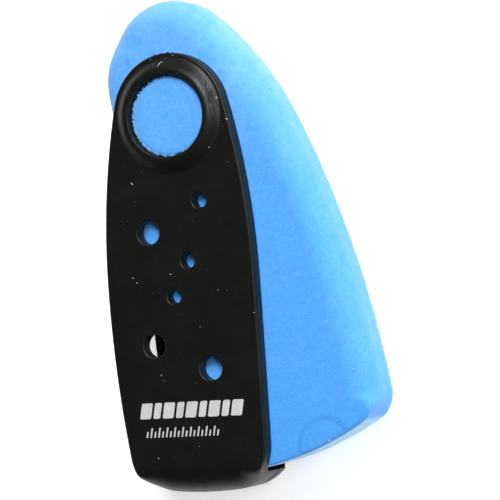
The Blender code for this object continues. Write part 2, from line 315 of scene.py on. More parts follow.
# Camera: it looks at a point beside the pivot, at the height of the front plate's face
VIEW_CENTRE = (0.012745, -0.022148)
VIEW_AZIMUTH = math.radians(88.3065)
VIEW_ELEVATION = math.radians(63.996)
VIEW_ROLL = math.radians(-92.5454)
VIEW_DISTANCE = 0.373313
LENS = 172.74
SENSOR_WIDTH = 36.0

# Soft lights: (name, direction from the pivot, distance, width, power, colour)
PURE_WHITE = (1.0, 1.0, 1.0)
LIGHTS = (
    ("key", (0.24, 0.54, 0.80), 0.75, 0.36, 5.9, PURE_WHITE),
    ("collar_light", (0.54, 0.12, 0.83), 0.75, 0.16, 0.9, PURE_WHITE),
    ("side_fill", (0.85, 0.38, 0.36), 0.70, 0.40, 0.5, (0.97, 1.0, 1.0)),
    ("far_fill", (-0.78, -0.35, 0.28), 0.90, 0.50, 0.25, PURE_WHITE),
)

# Half the table's width
TABLE_SPAN = 1.6


# ---------------------------------------------------------------- outlines

def on_circle(centre, radius, angle):
    return Vector(centre) + radius * Vector((math.cos(angle), math.sin(angle)))


def circles_cross(centre_a, radius_a, centre_b, radius_b, side):
    """The point where two circles cross, left (1) or right (-1) of a to b."""
    line = centre_b - centre_a
    along = (radius_a ** 2 - radius_b ** 2 + line.length_squared) / (2 * line.length)
    across = math.sqrt(radius_a ** 2 - along ** 2)
    ahead = line.normalized()
    left = Vector((-ahead.y, ahead.x))
    return centre_a + along * ahead + side * across * left


def blend(value, low, high):
    """0 up to low, 1 from high on, and smooth in between."""
    share = min(max((value - low) / (high - low), 0.0), 1.0)
    return share * share * (3 - 2 * share)


def tangent_outline(circles, start, end):
    """(point, normal) clockwise round a convex chain of circles that touch in turn."""
    outline = []
    angle = start
    for index, (centre, radius) in enumerate(circles):
        leave = end
        if index + 1 < len(circles):
            other, other_radius = circles[index + 1]
            towards = other - centre if other_radius < radius else centre - other
            leave = math.atan2(towards.y, towards.x)
        while leave > angle:
            leave -= math.tau
        sweep = angle - leave
        steps = max(2, math.ceil(sweep / math.sqrt(8 * SAGITTA / radius)))
        first = 1 if outline else 0
        for step in range(first, steps + 1):
            turn = angle - sweep * step / steps
            outline.append((on_circle(centre, radius, turn), on_circle((0, 0), 1, turn)))
        angle = leave
    return outline


def holder_half(tail_radius, corner_radius):
    """The right half of a holder whose side and corner have these radii."""
    pivot = Vector((0.0, 0.0))
    taper = WIDEST_AT ** 2 / (2 * (HALF_WIDTH - NOSE_RADIUS))
    nose_side_radius = (HALF_WIDTH + NOSE_RADIUS) / 2 + taper
    nose_side = Vector((HALF_WIDTH - nose_side_radius, -WIDEST_AT))
    tail_side = Vector((HALF_WIDTH - tail_radius, -WIDEST_AT))
    corner = circles_cross(
        pivot, END_RADIUS - corner_radius,
        tail_side, tail_radius - corner_radius, 1)
    circles = (
        (pivot, NOSE_RADIUS),
        (nose_side, nose_side_radius),
        (tail_side, tail_radius),
        (corner, corner_radius),
        (pivot, END_RADIUS),
    )
    return tangent_outline(circles, math.pi / 2, -math.pi / 2)


def holder_outline():
    """Clockwise from the top of the nose. The left side curves in more than the right."""
    right = holder_half(RIGHT_TAIL_RADIUS, RIGHT_CORNER_RADIUS)
    left = holder_half(LEFT_TAIL_RADIUS, LEFT_CORNER_RADIUS)
    flip = Vector((-1, 1))
    return right + [(point * flip, normal * flip) for point, normal in reversed(left[1:-1])]


def holder_edge_radius(normal, side):
    """Small along the sides, large round the end, and larger still behind its right corner."""
    share = blend(-normal.y, *END_EDGE_BLEND)
    radius = SIDE_EDGE_RADIUS + (END_EDGE_RADIUS - SIDE_EDGE_RADIUS) * share
    if side > 0:
        return radius
    corner = blend(-normal.y, *BACK_CORNER_END_BLEND) * blend(normal.x, *BACK_CORNER_RIGHT_BLEND)
    return radius + (BACK_CORNER_EDGE_RADIUS - radius) * corner


def block_outline():
    pivot = Vector((0.0, 0.0))
    right_side = Vector((BLOCK_RIGHT - BLOCK_SIDE_RADIUS, -BLOCK_WIDEST_AT))
    shoulder = circles_cross(
        BLOCK_NOSE, BLOCK_SHOULDER_RADIUS - BLOCK_NOSE_RADIUS,
        right_side, BLOCK_SIDE_RADIUS - BLOCK_SHOULDER_RADIUS, 1)
    right_corner = circles_cross(
        pivot, BLOCK_END_RADIUS - BLOCK_CORNER_RADIUS,
        right_side, BLOCK_SIDE_RADIUS - BLOCK_CORNER_RADIUS, 1)
    cheek = on_circle(BLOCK_NOSE, BLOCK_NOSE_RADIUS - BLOCK_CHEEK_RADIUS, BLOCK_CHEEK_ANGLE)
    left_side = on_circle(cheek, BLOCK_CHEEK_RADIUS - BLOCK_LEFT_RADIUS, BLOCK_LEFT_ANGLE)
    left_corner = circles_cross(
        pivot, BLOCK_END_RADIUS - BLOCK_CORNER_RADIUS,
        left_side, BLOCK_LEFT_RADIUS - BLOCK_CORNER_RADIUS, -1)
    circles = (
        (BLOCK_NOSE, BLOCK_NOSE_RADIUS),
        (shoulder, BLOCK_SHOULDER_RADIUS),
        (right_side, BLOCK_SIDE_RADIUS),
        (right_corner, BLOCK_CORNER_RADIUS),
        (pivot, BLOCK_END_RADIUS),
        (left_corner, BLOCK_CORNER_RADIUS),
        (left_side, BLOCK_LEFT_RADIUS),
        (cheek, BLOCK_CHEEK_RADIUS),
        (BLOCK_NOSE, BLOCK_NOSE_RADIUS),
    )
    return tangent_outline(circles, math.pi / 2, -3 * math.pi / 2)[:-1]


def block_edge_radius(normal, side):
    """Large along the free side, less on the left, and crisp at the end's front edge."""
    left = blend(-normal.x, *BLOCK_LEFT_EDGE_BLEND)
    radius = BLOCK_EDGE_RADIUS + (BLOCK_LEFT_EDGE_RADIUS - BLOCK_EDGE_RADIUS) * left
    if side < 0:
        return radius
    end = blend(-normal.y, *BLOCK_END_EDGE_BLEND)
    return radius + (BLOCK_END_EDGE_RADIUS - radius) * end


# ---------------------------------------------------------------- solids

def link(name, data):
    made = bpy.data.objects.new(name, data)
    bpy.context.scene.collection.objects.link(made)
    return made


def mesh_from(name, vertices, faces):
    mesh = bpy.data.meshes.new(name)
    mesh.from_pydata([tuple(vertex) for vertex in vertices], [], faces)
    mesh.update()
    return link(name, mesh)


def baked(source):
    """Replaces an object and its modifiers with its final mesh."""
    bpy.context.view_layer.update()
    evaluated = source.evaluated_get(bpy.context.evaluated_depsgraph_get())
    mesh = bpy.data.meshes.new_from_object(evaluated)
    name = source.name
    matrix = source.matrix_world.copy()
    bpy.data.objects.remove(source)
    result = link(name, mesh)
    result.matrix_world = matrix
    return result


def rounded_slab(name, outline, thickness, edge_radius):
    """A slab of that outline whose edges are rounded by edge_radius(normal, side)."""
    shape = bmesh.new()
    turns = [math.pi / 2 * step / EDGE_STEPS for step in range(EDGE_STEPS, -1, -1)]
    rings = []
    for side, turn in [(1, turn) for turn in turns] + [(-1, turn) for turn in reversed(turns)]:
        ring = []
        for point, normal in outline:
            radius = edge_radius(normal, side)
            place = point - normal * radius * (1 - math.cos(turn))
            height = thickness / 2 - radius * (1 - math.sin(turn))
            ring.append(shape.verts.new((place.x, place.y, side * height)))
        rings.append(ring)
    for upper, lower in zip(rings, rings[1:]):
        for index in range(len(outline)):
            after = (index + 1) % len(outline)
            shape.faces.new((upper[index], upper[after], lower[after], lower[index]))
    bmesh.ops.triangulate(shape, faces=shape.faces)
    shape.faces.new(rings[0])
    shape.faces.new(rings[-1])
    bmesh.ops.recalc_face_normals(shape, faces=shape.faces)
    mesh = bpy.data.meshes.new(name)
    shape.to_mesh(mesh)
    shape.free()
    return link(name, mesh)


def turned(name, profile, steps):
    """A closed solid of revolution about Z from (radius, z) points, top to bottom."""
    shape = bmesh.new()
    rings = []
    for radius, z in profile:
        if radius < WELD:
            rings.append([shape.verts.new((0.0, 0.0, z))])
            continue
        turns = [math.tau * step / steps for step in range(steps)]
        rings.append([
            shape.verts.new((radius * math.cos(turn), radius * math.sin(turn), z))
            for turn in turns])
    for upper, lower in zip(rings, rings[1:]):
        for index in range(steps):
            after = (index + 1) % steps
            corners = [upper[index % len(upper)], lower[index % len(lower)],
                       lower[after % len(lower)], upper[after % len(upper)]]
            unique = list(dict.fromkeys(corners))
            if len(unique) > 2:
                shape.faces.new(unique)
    for ring in (rings[0], rings[-1]):
        if len(ring) > 1:
            shape.faces.new(ring)
    bmesh.ops.recalc_face_normals(shape, faces=shape.faces)
    mesh = bpy.data.meshes.new(name)
    shape.to_mesh(mesh)
    shape.free()
    return link(name, mesh)


def quarter_round(radius, z, size, steps, hollow=False):
    """Profile points from a flat top at z round to an upright side at radius.

    A hollow one flares outwards, as the rim of a hole does.
    """
    reach = 1 if hollow else -1
    points = []
    for step in range(steps + 1):
        turn = math.pi / 2 * (1 - step / steps)
        across = radius + reach * size - reach * size * math.cos(turn)
        points.append((across, z - size + size * math.sin(turn)))
    return points


def mirrored_down(profile):
    return profile + [(radius, -z) for radius, z in reversed(profile)]


def combine(target, operation, other):
    boolean = target.modifiers.new(other.name, "BOOLEAN")
    boolean.operation = operation
    boolean.solver = "EXACT"
    boolean.object = other
    result = baked(target)
    bpy.data.objects.remove(other)
    return result


def collar_blank(side):
    """The collar swells out of the plate in one smooth S-shaped slope."""
    profile = [(0.0, COLLAR_CREST)]
    for step in range(COLLAR_STEPS + 1):
        share = step / COLLAR_STEPS
        radius = COLLAR_CREST_RADIUS + (COLLAR_FOOT_RADIUS - COLLAR_CREST_RADIUS) * share
        drop = (COLLAR_HEIGHT + COLLAR_SINK) * (1 - math.cos(math.pi * share)) / 2
        profile.append((radius, COLLAR_CREST - drop))
    profile.append((COLLAR_FOOT_RADIUS, PLATE_FACE - COLLAR_ROOT))
    profile.append((0.0, PLATE_FACE - COLLAR_ROOT))
    if side < 0:
        profile = [(radius, -z) for radius, z in reversed(profile)]
    return turned("collar_blank", profile, TURN_STEPS)


def flared_cutter(name, radius, face, flare, steps):
    """Cuts a round hole through both plates, with softened rims at their outer faces."""
    above = face + CUTTER_RISE
    rim = quarter_round(radius, face, flare, RIM_STEPS, hollow=True)
    return turned(name, mirrored_down([(0.0, above), (radius + flare, above)] + rim), steps)


def slot_cutter():
    """Clears the slot between the plates, up to a filleted end wall."""
    half = SLOT_HEIGHT / 2
    rim = quarter_round(SLOT_RADIUS, half, SLOT_FILLET, SLOT_FILLET_STEPS)
    return turned("slot_cutter", mirrored_down([(0.0, half)] + rim), 2 * TURN_STEPS)


def make_holder():
    holder = rounded_slab("holder_shell", holder_outline(), BODY_THICKNESS, holder_edge_radius)
    holder = combine(holder, "DIFFERENCE", slot_cutter())
    holder = combine(holder, "UNION", collar_blank(1))
    holder = combine(holder, "UNION", collar_blank(-1))
    bore = flared_cutter("bore", BORE_RADIUS, COLLAR_CREST, BORE_RIM_RADIUS, TURN_STEPS)
    holder = combine(holder, "DIFFERENCE", bore)
    for below, right, radius in DECOR_HOLES:
        cutter = flared_cutter("hole", radius, PLATE_FACE, HOLE_FLARE, HOLE_STEPS)
        cutter.data.transform(Matrix.Translation((right, -below, 0.0)))
        holder = combine(holder, "DIFFERENCE", cutter)
    holder.data.shade_smooth()
    holder.data.set_sharp_from_angle(angle=SHARP_ANGLE)
    weighted = holder.modifiers.new("even shading", "WEIGHTED_NORMAL")
    weighted.keep_sharp = True
    return holder


# ---------------------------------------------------------------- irregular surfaces

def waves(points, seed, wavelength, count=14):
    """Smooth seeded noise of about unit size: random plane waves near one wavelength."""
    random = np.random.default_rng(seed)
    total = np.zeros(len(points))
    for _ in range(count):
        direction = random.normal(size=3)
        direction /= np.linalg.norm(direction)
        pitch = wavelength * random.uniform(0.6, 1.6)
        total += np.sin(points @ direction * math.tau / pitch + random.uniform(0, math.tau))
    return total / math.sqrt(count / 2)


def layered_waves(points, layers):
    total = np.zeros(len(points))
    for size, wavelength, count, seed in layers:
        total += size * waves(points, seed, wavelength, count)
    return total


def ramp(values, low, high):
    share = np.clip((values - low) / (high - low), 0.0, 1.0)
    return share * share * (3 - 2 * share)


def coordinates(mesh):
    values = np.empty(len(mesh.vertices) * 3, np.float32)
    mesh.vertices.foreach_get("co", values)
    return values.reshape(-1, 3).astype(float)


def vertex_normals(mesh):
    values = np.empty(len(mesh.vertices) * 3, np.float32)
    mesh.vertex_normals.foreach_get("vector", values)
    return values.reshape(-1, 3).astype(float)


def store(mesh, name, values):
    attribute = mesh.attributes.new(name, "FLOAT", "POINT")
    attribute.data.foreach_set("value", values.astype(np.float32))


def mould_groove(points, face):
    """Depth of the mould's round mark at each point, from 0 to 1, and fainter in places."""
    distance = np.hypot(points[:, 0] - MOULD_MARK.x, points[:, 1] - MOULD_MARK.y)
    front = ramp(points[:, 2], 0.0, BLOCK_FACE)
    groove = np.exp(-((distance - MOULD_MARK_RADIUS) / MOULD_MARK_WIDTH) ** 2) * face * front
    fading = waves(points, MOULD_MARK_SEED, MOULD_MARK_FADING)
    groove *= 0.55 + 0.45 * ramp(fading, -0.6, 0.8)
    return groove


def powder_and_light_cover(points, normals, face, boss, end):
    """Share of powder, painted light on nose, rims, cheek and end, and painted shade near the end.
    """
    along = points[:, 1]
    nose = ramp(along, *NOSE_ZONE)
    cloudiness = POWDER_CLOUDINESS + POWDER_CLOUDINESS_NOSE * nose
    # Painted light: paler towards the nose, where the light falls strongest
    powder_and_light = POWDER + NOSE_PAINTED_LIGHT * nose + cloudiness * layered_waves(points, POWDER_CLOUDS)
    powder_and_light = powder_and_light * (1 - POWDER_OFF_BOSS * boss) + POWDER_BOSS * boss
    # Painted light: rims and sides paler, the washed-out look of strong side light
    powder_and_light += RIM_PAINTED_LIGHT * (1 - face)
    # Painted shade: darker towards the end, away from the light
    powder_and_light -= END_PAINTED_SHADE * ramp(-along, *SHADED_END_ZONE)
    # Painted light: the left-facing cheek near the nose paler
    powder_and_light += CHEEK_PAINTED_LIGHT * ramp(-normals[:, 0], *CHEEK_TURN) * ramp(along, *CHEEK_ZONE)
    # Painted light: the end face paler, as seen grazing under strong light
    powder_and_light += END_FACE_PAINTED_LIGHT * end
    return powder_and_light


def smudges(points, face):
    """Small dirty spots on the faces, most of them near the nose."""
    spots = ramp(waves(points, SMUDGE_SEED, SMUDGE_PITCH, 20), *SMUDGE_PEAKS)
    return spots * ramp(points[:, 1], *SMUDGED_ZONE) * face


def wear_rubber(mesh):
    """Undulation, grain and the mould's round mark, and where powder and painted light lie on it.
    """
    points = coordinates(mesh)
    normals = vertex_normals(mesh)
    face = ramp(np.abs(normals[:, 2]), *FACE_TURN)
    boss = ramp(np.abs(points[:, 2]), *BOSS_HEIGHT)
    end = ramp(-normals[:, 1], *END_TURN)
    groove = mould_groove(points, face)
    lift = layered_waves(points, UNDULATION) * (1 - BOSS_SMOOTHNESS * boss)
    lift -= MOULD_MARK_DEPTH * groove
    moved = points + normals * lift[:, None]
    mesh.vertices.foreach_set("co", moved.astype(np.float32).ravel())
    powder_and_light = powder_and_light_cover(points, normals, face, boss, end)
    store(mesh, "powder_and_light", np.clip(powder_and_light, 0.0, 1.0))
    # The groove mask also darkens the colour as painted shade
    store(mesh, "groove", np.clip(groove, 0.0, 1.0))
    # Painted reflection: the end face whiter further down, towards the bright table
    store(mesh, "end_reflection", end * ramp(BLOCK_FACE - points[:, 2], *END_REFLECTION_DEPTH))
    store(mesh, "smudge", np.clip(smudges(points, face), 0.0, 1.0))
    mesh.update()


def make_rubber():
    block = rounded_slab("eraser_rubber", block_outline(), BLOCK_THICKNESS, block_edge_radius)
    rim = quarter_round(BOSS_RADIUS, PLATE_FACE, BOSS_RIM_RADIUS, BOSS_RIM_STEPS)
    bosses = turned("bosses", mirrored_down([(0.0, PLATE_FACE)] + rim), TURN_STEPS)
    block = combine(block, "UNION", bosses)
    remesh = block.modifiers.new("even grid", "REMESH")
    remesh.mode = "VOXEL"
    remesh.voxel_size = RUBBER_GRID
    settle = block.modifiers.new("settle", "SMOOTH")
    settle.factor = 0.5
    settle.iterations = 3
    block = baked(block)
    wear_rubber(block.data)
    block.data.shade_smooth()
    return block


# ---------------------------------------------------------------- small loose bits

def tube(path, radii, sides):
    """Vertices and faces of a round tube along path with a radius at each point."""
    vertices = []
    faces = []
    count = len(path)
    for index, (point, radius) in enumerate(zip(path, radii)):
        ahead = path[min(index + 1, count - 1)] - path[max(index - 1, 0)]
        frame = ahead.to_track_quat("Z", "Y")
        for side in range(sides):
            turn = math.tau * side / sides
            offset = Vector((math.cos(turn), math.sin(turn), 0.0)) * radius
            vertices.append(point + frame @ offset)
    for index in range(count - 1):
        for side in range(sides):
            after = (side + 1) % sides
            faces.append((index * sides + side, index * sides + after,
                          (index + 1) * sides + after, (index + 1) * sides + side))
    faces.append(tuple(reversed(range(sides))))
    faces.append(tuple(range((count - 1) * sides, count * sides)))
    return vertices, faces


def grain(centre, size, random, flatness):
    """Vertices and faces of one rough crumb."""
    shape = bmesh.new()
    bmesh.ops.create_icosphere(shape, subdivisions=2, radius=1.0)
    points = np.array([vertex.co for vertex in shape.verts])
    faces = [tuple(vertex.index for vertex in face.verts) for face in shape.faces]
    shape.free()
    seed = int(random.integers(1 << 30))
    lumps = 1 + CRUMB_LUMPS * waves(points, seed, CRUMB_LUMP_PITCH, count=8)
    points *= lumps[:, None]
    points *= np.array([random.uniform(*CRUMB_LENGTH), random.uniform(*CRUMB_WIDTH), flatness])
    turn = random.uniform(0, math.tau)
    spin = np.array([[math.cos(turn), -math.sin(turn), 0],
                     [math.sin(turn), math.cos(turn), 0], [0, 0, 1]])
    points = points @ spin.T * size
    return [Vector(point) + Vector(centre) for point in points], faces


def lying_grain(x, y, size, surface, rise, random, flatness=0.6):
    """A crumb at (x, y) in millimetres, raised by that share of its size above a surface."""
    centre = (x * MM, y * MM, surface + rise * size * MM)
    return grain(centre, size * MM, random, flatness)


def joined(name, parts):
    vertices = []
    faces = []
    for part_vertices, part_faces in parts:
        base = len(vertices)
        vertices += part_vertices
        faces += [tuple(base + index for index in face) for face in part_faces]
    made = mesh_from(name, vertices, faces)
    made.data.shade_smooth()
    return made


def fray_sliver(random):
    """One torn sliver, from the boss's rim outwards."""
    turn = math.radians(random.normal(FRAY_SIDE, FRAY_SPREAD))
    if random.random() < FRAY_ALL_ROUND:
        turn = random.uniform(0, math.tau)
    reach = random.uniform(*FRAY_REACH) * MM
    lean = random.normal(0, FRAY_LEAN) * MM
    radial = Vector((math.cos(turn), math.sin(turn), 0.0))
    tangent = Vector((-radial.y, radial.x, 0.0))
    start = radial * (BOSS_RADIUS - FRAY_ROOT)
    start.z = PLATE_FACE - random.uniform(*FRAY_DEPTH) * MM
    rise = random.uniform(*FRAY_RISE) * MM
    path = []
    for share, _ in FRAY_TAPER:
        step = radial * (reach + FRAY_OVERHANG) * share + tangent * lean * share ** 2
        path.append(start + step + Vector((0.0, 0.0, rise * share)))
    thick = random.uniform(*FRAY_THICKNESS) * MM
    return tube(path, [thick * taper for _, taper in FRAY_TAPER], FRAY_SIDES)


def make_boss_fray():
    """Torn slivers where the rubber boss rubs in the bore, thickest on the left."""
    random = np.random.default_rng(31)
    return joined("boss_fray", [fray_sliver(random) for _ in range(FRAY_COUNT)])


def make_rubber_crumbs():
    """Loose eraser crumbs that lie on the front of the block."""
    random = np.random.default_rng(47)
    parts = []
    for x, y, size in CRUMBS:
        parts.append(lying_grain(x, y, size, BLOCK_FACE, 0.35, random))
    for _ in range(FINE_CRUMB_COUNT):
        y = random.uniform(*FINE_CRUMB_ALONG)
        x = random.uniform(-3, 14.5 + 0.02 * y)
        size = random.uniform(*FINE_CRUMB_SIZE)
        parts.append(lying_grain(x, y, size, BLOCK_FACE, 0.3, random, flatness=0.7))
    return joined("rubber_crumbs", parts)


def collar_top(x, y):
    """Height of the holder's front face at a point, with the collar."""
    distance = math.hypot(x, y)
    share = (distance - COLLAR_CREST_RADIUS) / (COLLAR_FOOT_RADIUS - COLLAR_CREST_RADIUS)
    share = min(max(share, 0.0), 1.0)
    return PLATE_FACE + COLLAR_HEIGHT * (1 + math.cos(math.pi * share)) / 2


def over_opening(x, y):
    """Whether a point on the holder's front, in metres, is over a hole or the bore."""
    if math.hypot(x, y) < COLLAR_CREST_RADIUS:
        return True
    return any(
        math.hypot(x - right, y + below) < radius + HOLE_MARGIN
        for below, right, radius in DECOR_HOLES)


def make_holder_dust():
    """Specks of rubber dust, and one curved fibre on the collar."""
    random = np.random.default_rng(59)
    parts = []
    for x, y, size in SPECKS:
        parts.append(lying_grain(x, y, size, collar_top(x * MM, y * MM), 0.3, random))
    for _ in range(FINE_SPECK_COUNT):
        x = random.uniform(*FINE_SPECK_ACROSS)
        y = random.uniform(*FINE_SPECK_ALONG)
        if over_opening(x * MM, y * MM):
            continue
        size = random.uniform(*FINE_SPECK_SIZE)
        parts.append(lying_grain(x, y, size, collar_top(x * MM, y * MM), 0.2, random))
    path = [
        Vector((x * MM, y * MM, collar_top(x * MM, y * MM) + FIBRE_LIFT)) for x, y, _ in FIBRE]
    parts.append(tube(path, [radius * MM for _, _, radius in FIBRE], TUBE_SIDES))
    return joined("holder_dust", parts)


def make_parting_line():
    """The mould's fine seam round the middle of the closed end, and its burrs at both ends."""
    outline = [pair for pair in holder_outline() if pair[0].y < SEAM_FROM]
    outline.sort(key=lambda pair: math.atan2(pair[0].y, pair[0].x))
    path = [Vector((*(point - normal * SEAM_INSET), 0.0)) for point, normal in outline]
    array = np.array([tuple(point) for point in path])
    widths = SEAM_RADIUS + SEAM_WAVER * waves(array, 71, SEAM_WAVER_PITCH)
    random = np.random.default_rng(73)
    parts = [tube(path, [width * MM for width in widths], TUBE_SIDES)]
    for angle, size in END_BURRS:
        spot = on_circle((0, 0), END_RADIUS + SEAM_INSET, math.radians(angle))
        parts.append(grain((spot.x, spot.y, 0.0), size * MM, random, 0.6))
    for angle, size in NOSE_BURRS:
        spot = on_circle((0, 0), NOSE_RADIUS - NOSE_BURR_INSET, math.radians(angle))
        centre = (spot.x, spot.y, PLATE_FACE - NOSE_BURR_DEPTH)
        parts.append(grain(centre, size * MM, random, 0.7))
    return joined("moulding_burrs", parts)


# ---------------------------------------------------------------- printed mark

def slanted_bar(left, foot, width, height, random):
    """Outline of a leaning bar with soft corners and the slight waver of pad-printed ink."""
    lean = BAR_LEAN * height
    corners = (
        Vector((left, foot)),
        Vector((left + width, foot)),
        Vector((left + width + lean, foot + height)),
        Vector((left + lean, foot + height)),
    )
    soften = min(INK_CORNER_SHARE * width, INK_CORNER)
    points = []
    for index, corner in enumerate(corners):
        before = (corners[index - 1] - corner).normalized() * soften
        after = (corners[(index + 1) % 4] - corner).normalized() * soften
        for step in range(INK_CORNER_STEPS + 1):
            share = step / INK_CORNER_STEPS
            place = corner + before * (1 - share) ** 2 + after * share ** 2
            waver = Vector(random.normal(0, INK_WAVER, size=2)) * MM
            points.append(tuple(place + waver))
    return points


def make_printed_mark():
    """A plain ornament: a row of bold leaning bars above a row of fine ticks."""
    random = np.random.default_rng(83)
    loops = []
    left = MARK_LEFT
    for number in range(BAR_COUNT):
        width = NARROW_BAR if number % 2 else WIDE_BAR
        loops.append(slanted_bar(left, MARK_FOOT, width, BAR_HEIGHT, random))
        left += width + BAR_GAP
    for number in range(TICK_COUNT):
        height = TICK_HEIGHT if number % 2 else SHORT_TICK_HEIGHT
        place = MARK_LEFT + TICK_INDENT + TICK_PITCH * number
        loops.append(slanted_bar(place, TICK_FOOT, TICK_WIDTH, height, random))
    curve = bpy.data.curves.new("printed_mark", "CURVE")
    curve.dimensions = "2D"
    curve.fill_mode = "BOTH"
    curve.extrude = INK_THICKNESS / 2
    for points in loops:
        spline = curve.splines.new("POLY")
        spline.points.add(len(points) - 1)
        for spline_point, (x, y) in zip(spline.points, points):
            spline_point.co = (x, y, 0.0, 1.0)
        spline.use_cyclic_u = True
    mark = baked(link("printed_mark", curve))
    mark.data.transform(Matrix.Translation((0.0, 0.0, PLATE_FACE + INK_THICKNESS / 2)))
    return mark


# ---------------------------------------------------------------- materials

class Nodes:
    """Shorthand to wire up one node tree."""

    def __init__(self, tree):
        self.tree = tree

    def add(self, kind, settings=None, **inputs):
        node = self.tree.nodes.new(kind)
        for name, value in (settings or {}).items():
            setattr(node, name, value)
        for name, value in inputs.items():
            self.put(node.inputs[name.replace("_", " ")], value)
        return node

    def put(self, socket, value):
        if isinstance(value, bpy.types.NodeSocket):
            self.tree.links.new(value, socket)
        else:
            socket.default_value = value

    def noise(self, place, scale, detail=4.0, roughness=0.55):
        node = self.add("ShaderNodeTexNoise", Vector=place, Scale=scale, Detail=detail)
        node.inputs["Roughness"].default_value = roughness
        return node.outputs["Fac"]

    def math(self, operation, first, second=0.0):
        node = self.add("ShaderNodeMath", {"operation": operation})
        self.put(node.inputs[0], first)
        self.put(node.inputs[1], second)
        return node.outputs[0]

    def band(self, value, low, high, to_low=0.0, to_high=1.0):
        node = self.add("ShaderNodeMapRange", {"interpolation_type": "SMOOTHSTEP"}, Value=value)
        for name, number in (("From Min", low), ("From Max", high),
                             ("To Min", to_low), ("To Max", to_high)):
            node.inputs[name].default_value = number
        return node.outputs["Result"]

    def mix(self, share, first, second):
        node = self.add("ShaderNodeMix", {"data_type": "RGBA"})
        self.put(node.inputs[0], share)
        self.put(node.inputs[6], first)
        self.put(node.inputs[7], second)
        return node.outputs[2]

    def bump(self, height, strength, distance):
        node = self.add("ShaderNodeBump", Height=height, Strength=strength)
        node.inputs["Distance"].default_value = distance
        return node.outputs["Normal"]

    def attribute(self, name):
        return self.add("ShaderNodeAttribute", {"attribute_name": name}).outputs["Fac"]


def new_material(name):
    material = bpy.data.materials.new(name)
    material.use_nodes = True
    nodes = Nodes(material.node_tree)
    shader = material.node_tree.nodes["Principled BSDF"]
    place = nodes.add("ShaderNodeTexCoord").outputs["Object"]
    return material, nodes, shader, place


def collar_scuff_highlight(nodes, place, pivot):
    """Short scuffs on the collar's free-side slope, lightened as a painted highlight towards the
    light.
    """
    offset = nodes.add("ShaderNodeVectorMath", {"operation": "SUBTRACT"})
    nodes.put(offset.inputs[0], place)
    offset.inputs[1].default_value = pivot
    axes = nodes.add("ShaderNodeSeparateXYZ", Vector=offset.outputs[0]).outputs
    level = nodes.add("ShaderNodeCombineXYZ", X=axes["X"], Y=axes["Y"])
    length = nodes.add("ShaderNodeVectorMath", {"operation": "LENGTH"}, Vector=level.outputs[0])
    reach = length.outputs["Value"]
    outer = nodes.band(reach, *SCUFF_HIGHLIGHT_OUTER, to_low=1.0, to_high=0.0)
    ring = nodes.math("MULTIPLY", nodes.band(reach, *SCUFF_HIGHLIGHT_INNER), outer)
    upper = nodes.band(axes["Y"], *SCUFF_HIGHLIGHT_UPPER)
    sector = nodes.math("MULTIPLY", nodes.band(axes["X"], *SCUFF_HIGHLIGHT_RIGHT), upper)
    stretched = nodes.add("ShaderNodeMapping", Vector=offset.outputs[0])
    stretched.inputs["Scale"].default_value = SCUFF_HIGHLIGHT_GRAIN
    streaks = nodes.noise(stretched.outputs[0], scale=1.0, roughness=0.65)
    scuff_highlight = nodes.band(streaks, low=0.44, high=0.66)
    return nodes.math("MULTIPLY", nodes.math("MULTIPLY", ring, sector), scuff_highlight)


def black_plastic(pivot):
    """Satin black moulding: a fine spark-eroded grain with faint rubbed patches."""
    material, nodes, shader, place = new_material("satin_black_plastic")
    fine = nodes.noise(place, scale=5200.0, detail=3.0, roughness=0.6)
    coarse = nodes.noise(place, scale=1500.0, roughness=0.6)
    patches = nodes.noise(place, scale=170.0, detail=5.0, roughness=0.6)
    specks = nodes.noise(place, scale=2600.0, detail=2.0, roughness=0.5)
    rubbed = nodes.band(patches, low=0.42, high=0.72)
    flecks = nodes.band(specks, low=0.70, high=0.78, to_high=0.5)
    # Painted highlight: pale scuff streaks on the collar slope that faces the light
    scuff_highlight = nodes.math("MULTIPLY", collar_scuff_highlight(nodes, place, pivot), 0.8)
    base = nodes.mix(rubbed, PLASTIC_BLACK, PLASTIC_RUBBED)
    base = nodes.mix(flecks, base, PLASTIC_FLECK)
    base = nodes.mix(scuff_highlight, base, PLASTIC_SCUFF_HIGHLIGHT)
    nodes.put(shader.inputs["Base Color"], base)
    uneven = nodes.math("MULTIPLY", nodes.math("SUBTRACT", coarse, 0.5), 0.22)
    wear = nodes.math("MULTIPLY", rubbed, -0.05)
    rough = nodes.math("ADD", nodes.math("ADD", uneven, wear), 0.40)
    nodes.put(shader.inputs["Roughness"], rough)
    shader.inputs["IOR"].default_value = 1.30
    height = nodes.math("ADD", fine, nodes.math("MULTIPLY", coarse, 0.8))
    grain_normal = nodes.bump(height, strength=0.34, distance=0.03 * MM)
    nodes.put(shader.inputs["Normal"], grain_normal)
    return material


def rubber_markings(nodes, place):
    """(strength, colour) of each thing that shows on the rubber, the lowest layer first."""
    specks = nodes.noise(place, scale=3600.0, detail=2.0, roughness=0.5)
    pits = nodes.noise(place, scale=3300.0, detail=2.0, roughness=0.5)
    return (
        # Painted shade in the mould mark's groove
        (nodes.math("MULTIPLY", nodes.attribute("groove"), 0.6), RUBBER_GROOVE_SHADE),
        (nodes.band(specks, low=0.60, high=0.72, to_high=0.38), RUBBER_SPECK),
        (nodes.band(pits, low=0.26, high=0.38, to_low=0.30, to_high=0.0), RUBBER_PIT),
        (nodes.math("MULTIPLY", nodes.attribute("smudge"), 0.28), RUBBER_SMUDGE),
        # Painted reflection of the table on the end face
        (nodes.math("MULTIPLY", nodes.attribute("end_reflection"), 0.85), RUBBER_END_REFLECTION),
    )


